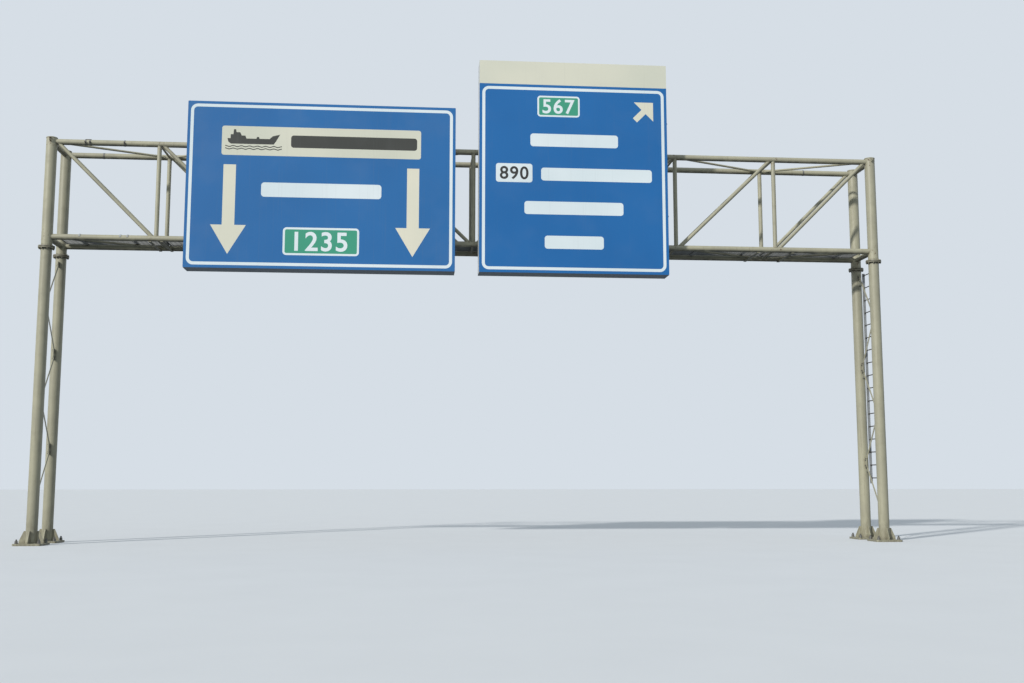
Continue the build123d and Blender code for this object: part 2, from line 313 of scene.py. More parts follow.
def painted_sheet():
    """Pale lacquered aluminium of the boxes: slight waves, rain streaks, dust above, painted blue-grey
    shade below and painted shade in corners.
    """
    f = Finish("painted_sheet")
    up = f.facing()[2]
    f.colour = f.blend(f.ramp(f.noise(0.9), 0.35, 0.7), srgb(197, 201, 201), srgb(184, 189, 191))
    streaks = f.ramp(f.noise(1.0, stretch=(22.0, 22.0, 0.7), detail=5.0), 0.5, 0.78, end=0.4)
    f.stain(streaks, 138, 140, 136)
    # Painted shade on downward faces, dark and bluish
    below = f.ramp(up, -0.4, -0.95, end=0.8)
    f.colour = f.blend(below, f.colour, f.blend(f.noise(4.0), srgb(96, 120, 142), srgb(118, 138, 156)))
    above = f.ramp(up, 0.5, 0.95, end=0.4)
    f.stain(f.times(above, f.ramp(f.noise(2.2), 0.2, 0.8)), 148, 149, 140)
    # Painted shade in closed-in corners
    f.stain(f.times(f.crevice(0.06), 0.7), 80, 79, 74)
    waves = f.bump(f.noise(1.6, detail=1.0), 0.004)
    grain = f.bump(f.noise(210.0, detail=2.0), 0.0002, normal=waves)
    return f.finish(f.ramp(streaks, 0.0, 0.4, start=0.38, end=0.62), grain, Metallic=0.1)


paint = weathered_paint()
zinc = galvanised_steel()
fastener = zinc_fastener()
casing = painted_sheet()
rung_steel = dark_steel()
blue = sheeting("blue_film", srgb(24, 106, 172))
deep_blue = sheeting("deep_blue_film", srgb(0, 103, 173), dirt=0.35)
white = sheeting("white_film", srgb(231, 243, 248))
cream = sheeting("cream_film", srgb(232, 230, 211))
panel = sheeting("panel_film", srgb(221, 222, 205))
green = sheeting("green_film", srgb(58, 158, 128))
dark = sheeting("dark_film", srgb(60, 61, 56))
ink = sheeting("ink_film", srgb(44, 42, 38))

# Finishes of the frame's nodes; all others are painted
ZINC_NODES = (
    "walkway_bearers", "walkway_grating", "ladder_stiles", "ladder_brackets",
    "left_sign_rails", "right_sign_rails", "sign_saddles",
)
CASING_NODES = ("sign_backs", "left_sign_sides", "right_sign_sides", "right_cap_sides")
NODE_FINISH = {
    **dict.fromkeys(ZINC_NODES, zinc),
    **dict.fromkeys(CASING_NODES, casing),
    "ladder_rungs": rung_steel,
    "left_sign_face": blue,
    "right_sign_face": deep_blue,
    "right_cap_face": panel,
}
# Nodes with eased edges, by the width of the easing
EASED_EDGES = {
    0.001: ("leg_lacing", "left_sign_rails", "right_sign_rails"),
    0.0015: ("base_gussets", "lacing_plates", "lifting_lugs", "bottom_ties", "ladder_stiles"),
    0.002: ("column_flanges", "post_flanges", "post_caps", "sign_saddles"),
}
JOIN_DISTANCE = 0.00005
SHARP_ANGLE = 40


def ease(thing, width):
    """Rounds the sharp edges of a node or a piece."""
    bevel = thing.modifiers.new("eased", "BEVEL")
    bevel.width = width
    bevel.segments = 2
    bevel.limit_method = "ANGLE"
    return bevel


for name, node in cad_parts.items():
    node.data.materials.clear()
    node.data.materials.append(NODE_FINISH.get(name, paint))
for width, names in EASED_EDGES.items():
    for name in names:
        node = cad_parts[name]
        node.modifiers.new("joined", "WELD").merge_threshold = JOIN_DISTANCE
        bevel = ease(node, width)
        bevel.angle_limit = radians(SHARP_ANGLE)
        bevel.harden_normals = True


def placed(name, data):
    """A new object in the scene."""
    thing = bpy.data.objects.new(name, data)
    bpy.context.scene.collection.objects.link(thing)
    return thing


def spread(low, high, count):
    """Evenly spaced places from low to high."""
    return [low + (high - low) * i / (count - 1) for i in range(count)]


def circle(radius, count, start=0.0):
    """Evenly spaced places on a circle, the first one a share of a step past the first axis."""
    angles = [2 * pi * (i + start) / count for i in range(count)]
    return [(radius * cos(angle), radius * sin(angle)) for angle in angles]


# Small shapes as (points, faces), collected into one mesh a piece
ROD_SIDES = 8


def turned(profile, sides):
    """A profile of (radius, height) turned about Z, with a flat face at each end."""
    points, faces = [], []
    for radius, height in profile:
        points += [Vector((*place, height)) for place in circle(radius, sides, 0.5)]
    last = (len(profile) - 1) * sides
    for low in range(0, last, sides):
        high = low + sides
        for i in range(sides):
            j = (i + 1) % sides
            faces.append([low + i, low + j, high + j, high + i])
    faces.append(list(reversed(range(sides))))
    faces.append([last + i for i in range(sides)])
    return points, faces


def swept(path, radius, sides, closed=False):
    """A round rod along a path of points."""
    path = [Vector(p) for p in path]
    count = len(path)
    points, faces = [], []
    side = None
    for i, point in enumerate(path):
        after = path[(i + 1) % count] if closed or i + 1 < count else point
        before = path[i - 1] if closed or i > 0 else point
        ahead = (after - before).normalized()
        if side is None:
            side = ahead.orthogonal().normalized()
        side = (side - ahead * side.dot(ahead)).normalized()
        other = ahead.cross(side)
        points += [point + a * side + b * other for a, b in circle(radius, sides)]
    rings = count if closed else count - 1
    for i in range(rings):
        low, high = i * sides, (i + 1) % count * sides
        for j in range(sides):
            k = (j + 1) % sides
            faces.append([low + j, low + k, high + k, high + j])
    if not closed:
        faces.append(list(reversed(range(sides))))
        faces.append([(count - 1) * sides + j for j in range(sides)])
    return points, faces


def slab(low, high):
    """A box between two corners."""
    xs, ys, zs = zip(low, high)
    points = [Vector((x, y, z)) for x in xs for y in ys for z in zs]
    faces = [[0, 1, 3, 2], [4, 6, 7, 5], [0, 4, 5, 1], [2, 3, 7, 6], [0, 2, 6, 4], [1, 5, 7, 3]]
    return points, faces


class Parts:
    """Collects small shapes and makes one piece of them."""

    def __init__(self):
        self.points = []
        self.faces = []

    def add(self, shape, place=Matrix.Identity(4)):
        start = len(self.points)
        points, faces = shape
        self.points += [place @ point for point in points]
        self.faces += [[start + i for i in face] for face in faces]

    def piece(self, name, finish, slot, **settings):
        mesh = bpy.data.meshes.new(name)
        mesh.from_pydata(self.points, [], self.faces)
        return dress(name, mesh, finish, slot, **settings)


def dress(name, mesh, finish, slot, bevel=0.0, smooth=35.0):
    """Makes a piece of a mesh, gives it its finish and lets it ride on the frame."""
    mesh.materials.append(finish)
    mesh.shade_smooth()
    mesh.set_sharp_from_angle(angle=radians(smooth))
    piece = placed(name, mesh)
    if bevel:
        ease(piece, bevel)
    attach(piece, "root")
    return piece


def at(x, y, z, turn=Matrix.Identity(4)):
    """A place, with a turn about it."""
    return Matrix.Translation((x, y, z)) @ turn


# Sign faces: a board with the legend laid on it in layers of film
FILM = 0.0004
FILM_LAYERS = 3
CORNER_STEPS = 8
BOARD_CORNER = 0.02
BORDER_MARGIN = 0.058
BORDER_WIDTH = 0.062
BORDER_CORNER = 0.14
NUMBER_SHARE = 0.70
NUMBER_WEIGHT = 0.018
NUMBER_SPACING = 1.12
BAR_ROUNDING = 0.22
WAVE_STEPS = 12
face_front, face_back = (corner.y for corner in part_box("left_sign_face"))
board_front = face_front + FILM_LAYERS * FILM


def rounded(box, radius, margin=0.0):
    """The outline of a box (left, right, low, high) with round corners, drawn in by a margin."""
    inset = margin + radius
    left, right, low, high = box[0] + inset, box[1] - inset, box[2] + inset, box[3] - inset
    outline = []
    for quarter, (x, z) in enumerate([(right, high), (left, high), (left, low), (right, low)]):
        for step in range(CORNER_STEPS + 1):
            angle = pi / 2 * (quarter + step / CORNER_STEPS)
            outline.append((x + radius * cos(angle), z + radius * sin(angle)))
    return outline


def arrow(tip, turn, length, shaft, head, head_length):
    """An arrow's outline; it points up at a turn of 0 and to the right at 90."""
    outline = [
        (0, 0),
        (head / 2, -head_length),
        (shaft / 2, -head_length),
        (shaft / 2, -length),
        (-shaft / 2, -length),
        (-shaft / 2, -head_length),
        (-head / 2, -head_length),
    ]
    c, s = cos(radians(turn)), sin(radians(turn))
    return [(tip[0] + x * c + z * s, tip[1] - x * s + z * c) for x, z in outline]


def upright_mesh(curve, front, back):
    """A filled curve stood up in the plane of the signs, from its front to its back."""
    curve.extrude = (back - front) / 2
    holder = bpy.data.objects.new("outline", curve)
    mesh = bpy.data.meshes.new_from_object(holder)
    bpy.data.objects.remove(holder)
    mesh.transform(Matrix.Translation((0, (front + back) / 2, 0)) @ Matrix.Rotation(pi / 2, 4, "X"))
    return mesh


def flat(name, loops, front, back):
    """A flat sheet with the given outlines; an outline inside another is a hole."""
    curve = bpy.data.curves.new(name, "CURVE")
    curve.dimensions = "2D"
    curve.fill_mode = "BOTH"
    for loop in loops:
        spline = curve.splines.new("POLY")
        spline.points.add(len(loop) - 1)
        for point, (x, z) in zip(spline.points, loop):
            point.co = (x, z, 0, 1)
        spline.use_cyclic_u = True
    return upright_mesh(curve, front, back)


def film(name, layer, loops, finish):
    front = board_front - layer * FILM
    dress(name, flat(name, loops, front, board_front), finish, FACE_SLOT)


def digits(name, body, centre, height, layer, finish):
    """Plain numbers of a given height about a centre."""
    curve = bpy.data.curves.new(name, "FONT")
    curve.body = body
    curve.offset = NUMBER_WEIGHT
    curve.space_character = NUMBER_SPACING
    front = board_front - layer * FILM
    mesh = upright_mesh(curve, front, board_front)
    xs = [v.co.x for v in mesh.vertices]
    zs = [v.co.z for v in mesh.vertices]
    scale = height / (max(zs) - min(zs))
    place = Matrix.Translation((centre[0], 0, centre[1])) @ Matrix.Diagonal((scale, 1, scale, 1))
    mesh.transform(place @ Matrix.Translation((-(min(xs) + max(xs)) / 2, 0, -(min(zs) + max(zs)) / 2)))
    dress(name, mesh, finish, FACE_SLOT)


def face_board(node, finish, border):
    """The board of a sign in the place of the plain face, with a white line along its edges."""
    low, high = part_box(node)
    box = (low.x, high.x, low.z, high.z)
    sheet = flat(node, [rounded(box, BOARD_CORNER)], board_front, face_back)
    board = dress(f"{node}_board", sheet, finish, FACE_SLOT)
    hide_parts(node)
    if border:
        outer = rounded(box, BORDER_CORNER, BORDER_MARGIN)
        inner = rounded(box, BORDER_CORNER - BORDER_WIDTH, BORDER_MARGIN + BORDER_WIDTH)
        film(f"{node}_border", 1, [outer, inner], white)


def number_plate(name, number, field, number_finish, box, radius, rim):
    """A small plate with a white rim, a field and a plain number."""
    left, right, low, high = box
    film(f"{name}_rim", 1, [rounded(box, radius)], white)
    film(f"{name}_field", 2, [rounded(box, radius - rim, rim)], field)
    centre = ((left + right) / 2, (low + high) / 2)
    digits(f"{name}_number", number, centre, (high - low) * NUMBER_SHARE, 3, number_finish)


def ship_outline(left, right, low, high):
    """A low cargo ship seen from the side, with its bridge at the stern and a raked bow."""
    shape = [
        (0.00, 0.50), (0.06, 0.50), (0.06, 0.72), (0.11, 0.72), (0.12, 1.00), (0.16, 1.00), (0.17, 0.84),
        (0.24, 0.84), (0.27, 0.66), (0.34, 0.66), (0.36, 0.50), (0.55, 0.50), (0.56, 0.60), (0.60, 0.60),
        (0.61, 0.50), (0.80, 0.50), (0.86, 0.66), (1.00, 0.76), (0.93, 0.40), (0.88, 0.20), (0.07, 0.20),
        (0.02, 0.30),
    ]
    return [(left + x * (right - left), low + z * (high - low)) for x, z in shape]


def wave(left, right, height, swell, thickness, crests):
    """A wavy line as a closed outline."""
    steps = crests * WAVE_STEPS
    line = []
    for i in range(steps + 1):
        share = i / steps
        line.append((left + share * (right - left), height + swell * cos(2 * pi * crests * share)))
    return [(x, z + thickness / 2) for x, z in line] + [(x, z - thickness / 2) for x, z in reversed(line)]


def word_bar(name, box, layer, finish):
    """A plain bar in the place of a word."""
    film(name, layer, [rounded(box, BAR_ROUNDING * (box[3] - box[2]))], finish)


# What lies on the signs; a box is (left, right, low, high)
LEFT_PANEL = (-5.17, -1.12, 7.858, 8.47)
PANEL_CORNER = 0.05
SHIP = (-5.06, -4.0, 8.02, 8.40)
WAVES = {"left": -5.10, "right": -3.96, "swell": 0.010, "thickness": 0.020, "crests": 7}
WAVE_LEVELS = (8.045, 7.993)
LEFT_PANEL_BAR = (-3.776, -1.20, 8.04, 8.30)
LEFT_BAR = (-4.355, -1.922, 7.00, 7.30)
LEFT_PLATE = {"box": (-3.896, -2.359, 5.802, 6.376), "radius": 0.075, "rim": 0.042}
LANE_ARROWS = {"left": -4.995, "right": -1.275}
LANE_ARROW_TIP = 5.805
LANE_ARROW = {"turn": 180, "length": 1.855, "shaft": 0.25, "head": 0.71, "head_length": 0.60}
RIGHT_PLATE = {"box": (1.306, 2.202, 8.85, 9.303), "radius": 0.065, "rim": 0.036}
EXIT_ARROW_TIP = (3.77, 9.217)
EXIT_ARROW = {"turn": 45, "length": 0.553, "shaft": 0.125, "head": 0.58, "head_length": 0.29}
SMALL_PLATE_ROW = 2
SMALL_PLATE = {"box": (0.436, 1.198, 7.427, 7.826), "radius": 0.055, "rim": 0.020}
RIGHT_BARS = (
    (1.157, 3.01, 8.205, 8.48),
    (1.381, 3.722, 7.475, 7.75),
    (1.029, 3.109, 6.755, 7.03),
    (1.451, 2.687, 6.03, 6.305),
)


def left_legend():
    face_board("left_sign_face", blue, True)
    film("left_panel", 1, [rounded(LEFT_PANEL, PANEL_CORNER)], panel)
    film("left_ship", 2, [ship_outline(*SHIP)], dark)
    film("left_waves", 2, [wave(height=level, **WAVES) for level in WAVE_LEVELS], dark)
    word_bar("left_panel_bar", LEFT_PANEL_BAR, 2, dark)
    for hand, x in LANE_ARROWS.items():
        film(f"lane_arrow_{hand}", 1, [arrow((x, LANE_ARROW_TIP), **LANE_ARROW)], cream)
    word_bar("left_wide_bar", LEFT_BAR, 1, white)
    number_plate("left_plate", "1235", green, white, **LEFT_PLATE)


def right_legend():
    face_board("right_sign_face", deep_blue, True)
    face_board("right_cap_face", panel, False)
    number_plate("right_plate", "567", green, white, **RIGHT_PLATE)
    film("exit_arrow", 1, [arrow(EXIT_ARROW_TIP, **EXIT_ARROW)], cream)
    for row, box in enumerate(RIGHT_BARS, 1):
        if row == SMALL_PLATE_ROW:
            number_plate("right_small_plate", "890", white, ink, **SMALL_PLATE)
        word_bar(f"right_bar_{row}", box, 1, white)


left_legend()
right_legend()

# Welds round the feet of the members
BEAD_RADIUS = 0.0065
BEAD_STEPS = 36
BEAD_SIDES = 6
RING_STEPS = 48
WELD_GAP = 0.02


def saddle_curve(foot, direction, radius, seat_axis, seat_radius):
    """Where a round member's skin meets a round seat whose axis passes through the member's foot."""
    direction = Vector(direction).normalized()
    across = direction.orthogonal().normalized()
    other = direction.cross(across)
    seat_axis = Vector(seat_axis)
    curve = []
    for a, b in circle(radius, BEAD_STEPS):
        offset = a * across + b * other
        flat_offset = offset - seat_axis * offset.dot(seat_axis)
        flat_way = direction - seat_axis * direction.dot(seat_axis)
        squared = flat_way.length_squared
        half = flat_offset.dot(flat_way)
        rest = flat_offset.length_squared - seat_radius**2
        reach = (-half + sqrt(max(half**2 - squared * rest, 0))) / squared
        curve.append(Vector(foot) + offset + reach * direction)
    return curve


def flat_curve(foot, direction, radius, seat_y):
    """Where a round member's skin meets an upright plane at the given depth."""
    direction = Vector(direction)
    across = direction.orthogonal().normalized()
    other = direction.cross(across).normalized()
    curve = []
    for a, b in circle(radius, BEAD_STEPS):
        start = Vector(foot) + a * across + b * other
        curve.append(start + (seat_y - start.y) / direction.y * direction)
    return curve


def ring(x, y, z, radius):
    """A level circle about a place."""
    return [Vector((x + a, y + b, z)) for a, b in circle(radius, RING_STEPS)]


def foot_shift(rise, run, member, neighbour, seat):
    """How far a sloping member's foot moves along its seat to clear the neighbour's foot."""
    slope = atan2(rise, run)
    return max(0.0, neighbour / 2 + WELD_GAP + member / 2 / sin(slope) - seat / 2 / tan(slope))


# Diameters of the members
UPRIGHT = 0.0889
DIAGONAL = 0.0761
BRACE = 0.0483
END_STRUT = 0.1143
POST = 0.2191


def web_joints():
    """The feet of the uprights and diagonals on the chords, as (foot, direction, radius)."""
    rise = chord_z["top"] - chord_z["bottom"]
    chord = 2 * chord_radius
    for y in side_y.values():
        for x in node_x[1:-1]:
            yield (x, y, chord_z["bottom"]), (0, 0, 1), UPRIGHT / 2
            yield (x, y, chord_z["top"]), (0, 0, -1), UPRIGHT / 2
        for i in range(bay_count):
            high, low = (i, i + 1) if i < bay_count / 2 else (i + 1, i)
            inward = low - high
            neighbour = POST if high in (0, bay_count) else UPRIGHT
            high_shift = foot_shift(rise, bay, DIAGONAL, neighbour, chord)
            low_shift = foot_shift(rise, bay, DIAGONAL, UPRIGHT, chord)
            top = Vector((node_x[high] + inward * high_shift, y, chord_z["top"]))
            foot = Vector((node_x[low] - inward * low_shift, y, chord_z["bottom"]))
            yield top, foot - top, DIAGONAL / 2
            yield foot, top - foot, DIAGONAL / 2


def brace_joints():
    """The ends of the struts and bracing between the front and the back chords."""
    depth = back_y - front_y
    chord = 2 * chord_radius
    for z in chord_z.values():
        for x in node_x[1:-1]:
            yield (x, front_y, z), (0, 1, 0), BRACE / 2
            yield (x, back_y, z), (0, -1, 0), BRACE / 2
        for i in range(bay_count):
            starts, ends = (front_y, back_y) if i % 2 == 0 else (back_y, front_y)
            neighbours = [POST if node in (0, bay_count) else BRACE for node in (i, i + 1)]
            left, right = (foot_shift(depth, bay, BRACE, width, chord) for width in neighbours)
            first = Vector((node_x[i] + left, starts, z))
            last = Vector((node_x[i + 1] - right, ends, z))
            yield first, last - first, BRACE / 2
            yield last, first - last, BRACE / 2


GUSSET_HALF = 0.008
GUSSET_HEIGHT = 0.240
GUSSET_REACH = 0.130


def gusset_welds(parts, x, y):
    """Straight beads up and out along both faces of the four gussets of a leg."""
    root = sqrt(leg_radius**2 - GUSSET_HALF**2)
    for quarter in range(4):
        turn = at(x, y, base_top, Matrix.Rotation(quarter * pi / 2, 4, "Z"))
        for across in (-GUSSET_HALF, GUSSET_HALF):
            corner = Vector((root, across, 0))
            for way in ((0, 0, GUSSET_HEIGHT), (GUSSET_REACH, 0, 0)):
                line = [turn @ corner, turn @ (corner + Vector(way))]
                parts.add(swept(line, BEAD_RADIUS, BEAD_SIDES))


def weld_curves():
    """The closed curves of the beads round all feet, ends, flanges and plates."""
    for foot, direction, radius in web_joints():
        yield saddle_curve(foot, direction, radius, (1, 0, 0), chord_radius)
    for foot, direction, radius in brace_joints():
        inward = 1 if direction[1] > 0 else -1
        yield flat_curve(foot, direction, radius, foot[1] + inward * chord_radius)
    cap_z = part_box("post_caps")[0].z
    for end, x in leg_x.items():
        inward = 1 if end == "left" else -1
        for side, y in side_y.items():
            toward = 1 if side == "front" else -1
            for z in chord_z.values():
                yield saddle_curve((x, y, z), (inward, 0, 0), chord_radius, (0, 0, 1), leg_radius)
                yield saddle_curve((x, y, z), (0, toward, 0), END_STRUT / 2, (0, 0, 1), leg_radius)
            for z in (flange_bottom, flange_top, cap_z, base_top):
                yield ring(x, y, z, leg_radius)


def welds():
    parts = Parts()
    for curve in weld_curves():
        parts.add(swept(curve, BEAD_RADIUS, BEAD_SIDES, closed=True))
    for x, y in leg_places:
        gusset_welds(parts, x, y)
    parts.piece("weld_beads", paint, PAINT_SLOT)


welds()


# Bolts; their proportions are shares of the diameter
HEX_CORNER = 0.87
HEX_FLAT = 0.9 * HEX_CORNER
HEX_EASE = 0.06
WASHER_SIDES = 20
THREAD_PITCH = 0.14
THREAD_GROOVE = ((0.5, 0.0), (0.5, 0.4), (0.44, 0.7))
THREAD_END = 0.42
THREAD_SIDES = 12
WASHER_HEIGHT = 0.16
HEAD_HEIGHT = 0.62
NUT_HEIGHT = 0.80
STUB_HEIGHT = 0.45


def hexagon(diameter, low, high):
    """A bolt head or nut with its corners eased."""
    corner, rim, ease = (share * diameter for share in (HEX_CORNER, HEX_FLAT, HEX_EASE))
    return turned([(rim, low), (corner, low + ease), (corner, high - ease), (rim, high)], 6)


def washer(diameter, low, high):
    return turned([(diameter, low), (diameter, high)], WASHER_SIDES)


def threaded(diameter, low, high):
    """A threaded end as a row of grooves."""
    pitch = THREAD_PITCH * diameter
    count = max(2, int((high - low) / pitch))
    profile = []
    for i in range(count):
        z = low + (high - low) * i / count
        profile += [(radius * diameter, z + rise * pitch) for radius, rise in THREAD_GROOVE]
    return turned(profile + [(THREAD_END * diameter, high)], THREAD_SIDES)


def add_bolt(parts, place, diameter, grip):
    """A bolt along Z: its head above a joint of the given thickness, its nut and thread below."""
    seat = grip + WASHER_HEIGHT * diameter
    head = seat + HEAD_HEIGHT * diameter
    under = -WASHER_HEIGHT * diameter
    nut = under - NUT_HEIGHT * diameter
    stub = nut - STUB_HEIGHT * diameter
    for shape in (
        washer(diameter, grip, seat),
        hexagon(diameter, seat, head),
        washer(diameter, under, 0),
        hexagon(diameter, nut, under),
        threaded(diameter, stub, nut),
    ):
        parts.add(shape, place)


def add_nut(parts, place, diameter, plate_top, nut_top, stub_top):
    """A washer and a nut on a threaded end that stands out of its seat along Z."""
    parts.add(washer(diameter, 0, plate_top), place)
    parts.add(hexagon(diameter, plate_top, nut_top), place)
    parts.add(threaded(diameter, nut_top, stub_top), place)


FLANGE_BOLT = 0.020
FLANGE_BOLT_COUNT = 8
FLANGE_BOLT_CIRCLE = 0.138
ANCHOR_BOLT = 0.036
ANCHOR_SPACING = 0.43
ANCHOR_WASHER = 0.006
ANCHOR_NUT = 0.035
LOCK_NUT_LOW = 0.036
LOCK_NUT_HIGH = 0.052
ANCHOR_STUB = 0.085


def flange_bolts():
    parts = Parts()
    for x, y in leg_places:
        for a, b in circle(FLANGE_BOLT_CIRCLE, FLANGE_BOLT_COUNT, 0.5):
            place = at(x + a, y + b, flange_bottom, Matrix.Rotation(atan2(b, a), 4, "Z"))
            add_bolt(parts, place, FLANGE_BOLT, flange_top - flange_bottom)
    parts.piece("flange_bolts", paint, PAINT_SLOT)


def anchor_nuts():
    """A washer, a nut and a lock nut on each anchor bolt."""
    parts = Parts()
    for x, y in leg_places:
        for a, b in circle(ANCHOR_SPACING / sqrt(2), 4, 0.5):
            place = at(x + a, y + b, base_top)
            for shape in (
                washer(ANCHOR_BOLT, 0, ANCHOR_WASHER),
                hexagon(ANCHOR_BOLT, ANCHOR_WASHER, ANCHOR_NUT),
                hexagon(ANCHOR_BOLT, LOCK_NUT_LOW, LOCK_NUT_HIGH),
                threaded(ANCHOR_BOLT, LOCK_NUT_HIGH, ANCHOR_STUB),
            ):
                parts.add(shape, place)
    parts.piece("anchor_nuts", fastener, ZINC_SLOT)


TURN_TO_X = Matrix.Rotation(pi / 2, 4, "Y")
TURN_TO_LEFT = Matrix.Rotation(-pi / 2, 4, "Y")
TURN_DOWN = Matrix.Rotation(pi, 4, "X")
TURN_TO_FRONT = Matrix.Rotation(pi / 2, 4, "X")
TURN_TO_BACK = Matrix.Rotation(-pi / 2, 4, "X")
LACING_BOLT = 0.016
LACING_BARS = 5
LACING_TOP = flange_bottom - 0.115
LACING_FOOT = {"left": 0.935, "right": 0.610}
LACING_BOLT_PLACES = (0.070, 0.115)
LACING_GRIP = 0.020
PLATE_HALF = 0.006


def lacing_bolts():
    """Two bolts through each end of each lacing bar and its plate."""
    parts = Parts()
    seats = (back_y - leg_radius, front_y + leg_radius)
    for end, x in leg_x.items():
        levels = spread(LACING_TOP, LACING_FOOT[end], LACING_BARS + 1)
        points = [Vector((x - PLATE_HALF, seats[i % 2], z)) for i, z in enumerate(levels)]
        for first, last in zip(points, points[1:]):
            along = (last - first).normalized()
            for share in LACING_BOLT_PLACES:
                for place in (first + share * along, last - share * along):
                    add_bolt(parts, at(*place, TURN_TO_X), LACING_BOLT, LACING_GRIP)
    parts.piece("lacing_bolts", fastener, ZINC_SLOT)


# U-bolts that hold the rails to the front chords; a nut is (washer top, nut top, thread end)
U_BOLT = 0.016
U_BOLT_OFFSET = 0.064
U_BOLT_NUT = (0.003, 0.016, 0.030)
U_BOLT_STEPS = 16
saddle_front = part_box("sign_saddles")[0].y
left_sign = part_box("left_sign_face")
right_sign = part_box("right_sign_face")
RAIL_EDGE = 0.62
LEFT_RAILS = 4
RIGHT_RAILS = 3
rail_x = {
    "left": spread(left_sign[0].x + RAIL_EDGE, left_sign[1].x - RAIL_EDGE, LEFT_RAILS),
    "right": spread(right_sign[0].x + RAIL_EDGE, right_sign[1].x - RAIL_EDGE, RIGHT_RAILS),
}


def meets_web(x, level):
    """Whether a U-bolt at this place would run into a web member's foot on the front chord."""
    for foot, direction, radius in web_joints():
        if foot[1] != front_y or foot[2] != chord_z[level]:
            continue
        along = Vector(direction).normalized()
        skin_x = foot[0] + along.x / abs(along.z) * chord_radius
        if abs(x - skin_x) < radius / abs(along.z) + U_BOLT:
            return True
    return False


def u_bolts():
    parts = Parts()
    reach = chord_radius + U_BOLT / 2
    turns = spread(pi / 2, -pi / 2, U_BOLT_STEPS + 1)
    for x in rail_x["left"] + rail_x["right"]:
        for level, z in chord_z.items():
            for place in (x - U_BOLT_OFFSET, x + U_BOLT_OFFSET):
                if meets_web(place, level):
                    continue
                bow = [(place, front_y + reach * cos(t), z + reach * sin(t)) for t in turns]
                ends = [(place, saddle_front, z + hand * reach) for hand in (1, -1)]
                parts.add(swept([ends[0], *bow, ends[1]], U_BOLT / 2, ROD_SIDES))
                for end in ends:
                    add_nut(parts, at(*end, TURN_TO_FRONT), U_BOLT, *U_BOLT_NUT)
    parts.piece("rail_u_bolts", fastener, ZINC_SLOT)


# Backs of the boxes: bolts in the rails, cover strips over the joints of the sheets, and rivets
RAIL_WALL = 0.007
RAIL_BOLT = 0.014
RAIL_BOLT_NUT = (0.0025, 0.012, 0.022)
RAIL_BOLT_PITCH = 0.30
STRIP_WIDTH = 0.055
STRIP_THICKNESS = 0.002
STRIP_ROWS = (-0.3, 0.3)
RIVET = 0.0045
RIVET_DOME = ((1.0, 0.0), (0.95, 0.25), (0.6, 0.6))
RIVET_PITCH = 0.14
SIDE_RIVET_PITCH = 0.20
SIDE_RIVET_INSET = 0.024
EDGE_STRIP = 0.032
back_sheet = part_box("sign_backs")[1].y
rails_low, rails_high = (corner.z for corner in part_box("left_sign_rails"))


def rivet_row(parts, start, end, turn, pitch=RIVET_PITCH):
    """Domed rivets at an even pitch from one place to another."""
    start, end = Vector(start), Vector(end)
    rivet = turned([(radius * RIVET, height * RIVET) for radius, height in RIVET_DOME], ROD_SIDES)
    count = max(2, round((end - start).length / pitch) + 1)
    for i in range(count):
        place = start + (end - start) * (i + 0.5) / count
        parts.add(rivet, at(*place, turn))


def rail_bolts():
    parts = Parts()
    seat = back_sheet + RAIL_WALL
    edge = RAIL_BOLT_PITCH / 3
    count = round((rails_high - rails_low) / RAIL_BOLT_PITCH)
    for x in rail_x["left"] + rail_x["right"]:
        for z in spread(rails_low + edge, rails_high - edge, count):
            add_nut(parts, at(x, seat, z, TURN_TO_BACK), RAIL_BOLT, *RAIL_BOLT_NUT)
    parts.piece("rail_bolts", fastener, ZINC_SLOT)


def back_strips():
    """Cover strips on the back sheets, upright between the rails and along the edges."""
    strips, rivets = Parts(), Parts()
    strip_back = back_sheet + STRIP_THICKNESS
    boxes = [("left", *left_sign), ("right", *right_sign), ("right", *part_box("right_cap_face"))]
    for side, low, high in boxes:
        middles = [(a + b) / 2 for a, b in zip(rail_x[side], rail_x[side][1:])]
        edges = [low.x + EDGE_STRIP / 2, high.x - EDGE_STRIP / 2]
        for x, width in [(m, STRIP_WIDTH) for m in middles] + [(e, EDGE_STRIP) for e in edges]:
            foot, head = low.z + EDGE_STRIP, high.z - EDGE_STRIP
            strips.add(slab((x - width / 2, back_sheet, foot), (x + width / 2, strip_back, head)))
            for share in STRIP_ROWS if width == STRIP_WIDTH else (0,):
                column = x + share * width
                rivet_row(rivets, (column, strip_back, foot), (column, strip_back, head), TURN_TO_BACK)
        for z in (low.z, high.z - EDGE_STRIP):
            strips.add(slab((low.x, back_sheet, z), (high.x, strip_back, z + EDGE_STRIP)))
            level = z + EDGE_STRIP / 2
            rivet_row(rivets, (low.x, strip_back, level), (high.x, strip_back, level), TURN_TO_BACK)
    strips.piece("back_strips", casing, CASING_SLOT)
    rivets.piece("back_rivets", fastener, ZINC_SLOT)


def side_rivets():
    """Rivets along the front and back edges of the boxes' side and bottom sheets."""
    parts = Parts()
    inset, pitch = SIDE_RIVET_INSET, SIDE_RIVET_PITCH
    for node in ("left_sign", "right_sign", "right_cap"):
        low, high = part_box(f"{node}_sides")
        for y in (low.y + inset, high.y - inset):
            for x, turn in ((low.x, TURN_TO_LEFT), (high.x, TURN_TO_X)):
                rivet_row(parts, (x, y, low.z + inset), (x, y, high.z - inset), turn, pitch)
            if node != "right_cap":
                rivet_row(parts, (low.x + inset, y, low.z), (high.x - inset, y, low.z), TURN_DOWN, pitch)
    parts.piece("side_rivets", fastener, ZINC_SLOT)


